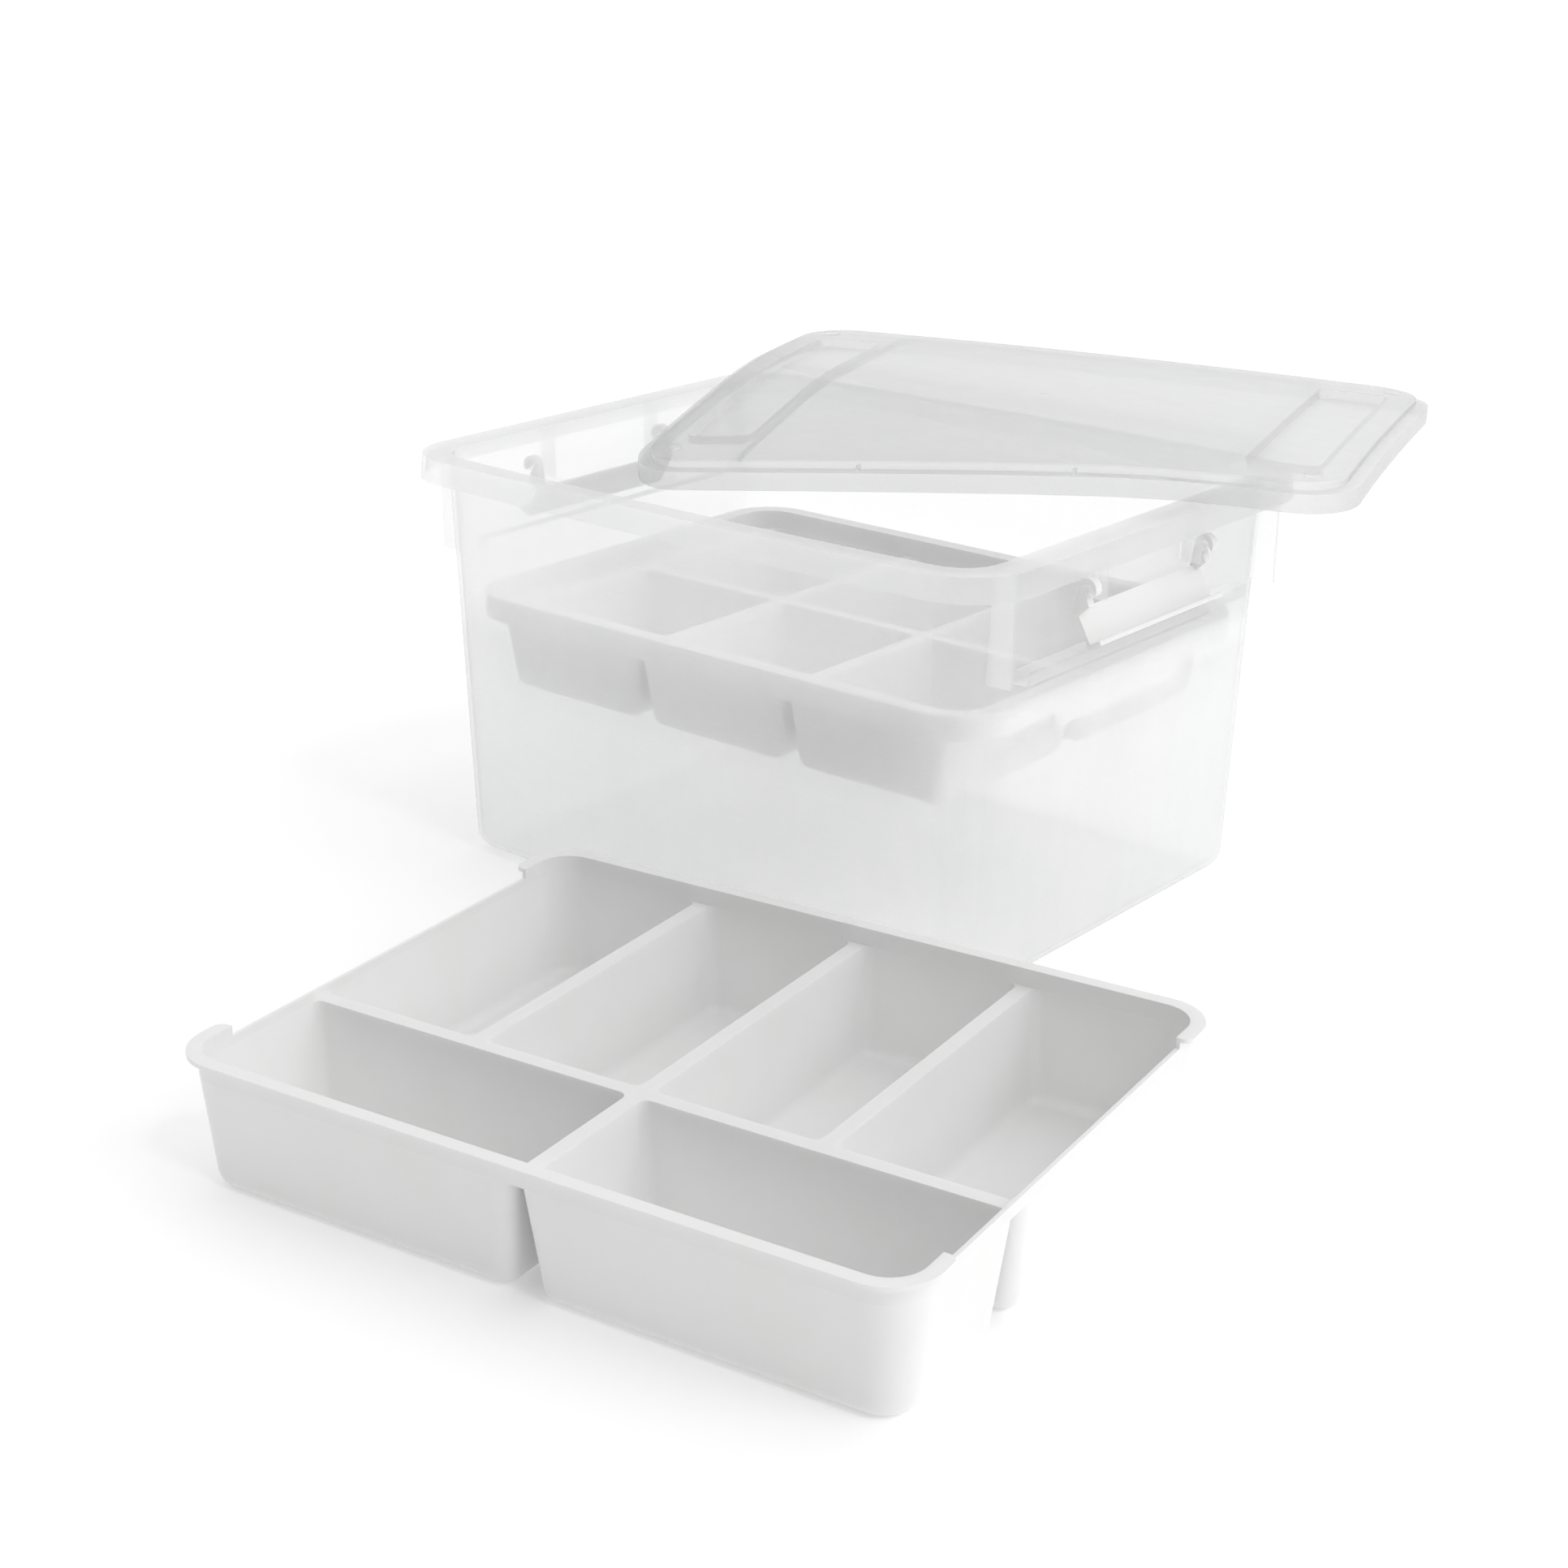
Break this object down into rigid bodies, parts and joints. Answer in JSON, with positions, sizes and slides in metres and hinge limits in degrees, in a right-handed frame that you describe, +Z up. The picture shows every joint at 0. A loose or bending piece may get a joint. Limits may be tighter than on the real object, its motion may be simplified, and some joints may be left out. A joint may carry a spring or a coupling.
{
  "type": "storage box with trays",
  "caption": "Clear lidded storage tub for art supplies with clip latches, a white tray of compartments beside it and a shallower tray inside it.",
  "frame": {"origin": "middle of the tub's underside, on the surface it stands on", "axes": "+Z up, +X along the tub's long side towards the right latch, -Y towards the front where the loose tray stands"},
  "size_m": [0.588, 0.8445, 0.2495],
  "materials": {
    "tub_plastic": "frosted translucent polypropylene, satin outside",
    "lid_plastic": "frosted translucent polypropylene",
    "tray_plastic": "opaque white, fine satin",
    "inner_tray_plastic": "opaque white, fine satin",
    "latch_plastic": "white, semi-gloss"
  },
  "bodies": {
    "clear_tub": {"clear_tub": "tub_plastic"},
    "clear_lid": {"clear_lid": "lid_plastic"},
    "six_compartment_tray": {"six_compartment_tray": "tray_plastic"},
    "lower_tray": {"lower_tray": "inner_tray_plastic"},
    "left_latch": {"left_latch": "latch_plastic"},
    "right_latch": {"right_latch": "latch_plastic"}
  },
  "joints": [
    {"name": "lid_lift", "type": "slide", "parent": "clear_tub", "child": "clear_lid", "axis": [0, 0, 1], "range_m": [0, 0.15]},
    {"name": "lower_tray_lift", "type": "slide", "parent": "clear_tub", "child": "lower_tray", "axis": [0, 0, 1], "range_m": [0, 0.135]},
    {"name": "tray_lift", "type": "slide", "parent": "clear_tub", "child": "six_compartment_tray", "axis": [0, 0, 1], "range_m": [0, 0.12]},
    {"name": "left_latch_hinge", "type": "hinge", "parent": "clear_tub", "child": "left_latch", "pos_m": [-0.1924, 0, 0.2102], "axis": [0, 1, 0], "range_deg": [0, 150]},
    {"name": "right_latch_hinge", "type": "hinge", "parent": "clear_tub", "child": "right_latch", "pos_m": [0.1924, 0, 0.2102], "axis": [0, -1, 0], "range_deg": [0, 110]}
  ],
  "couplings": [
    {"joint": "lower_tray_lift", "follows": "lid_lift", "ratio": 0.9}
  ]
}
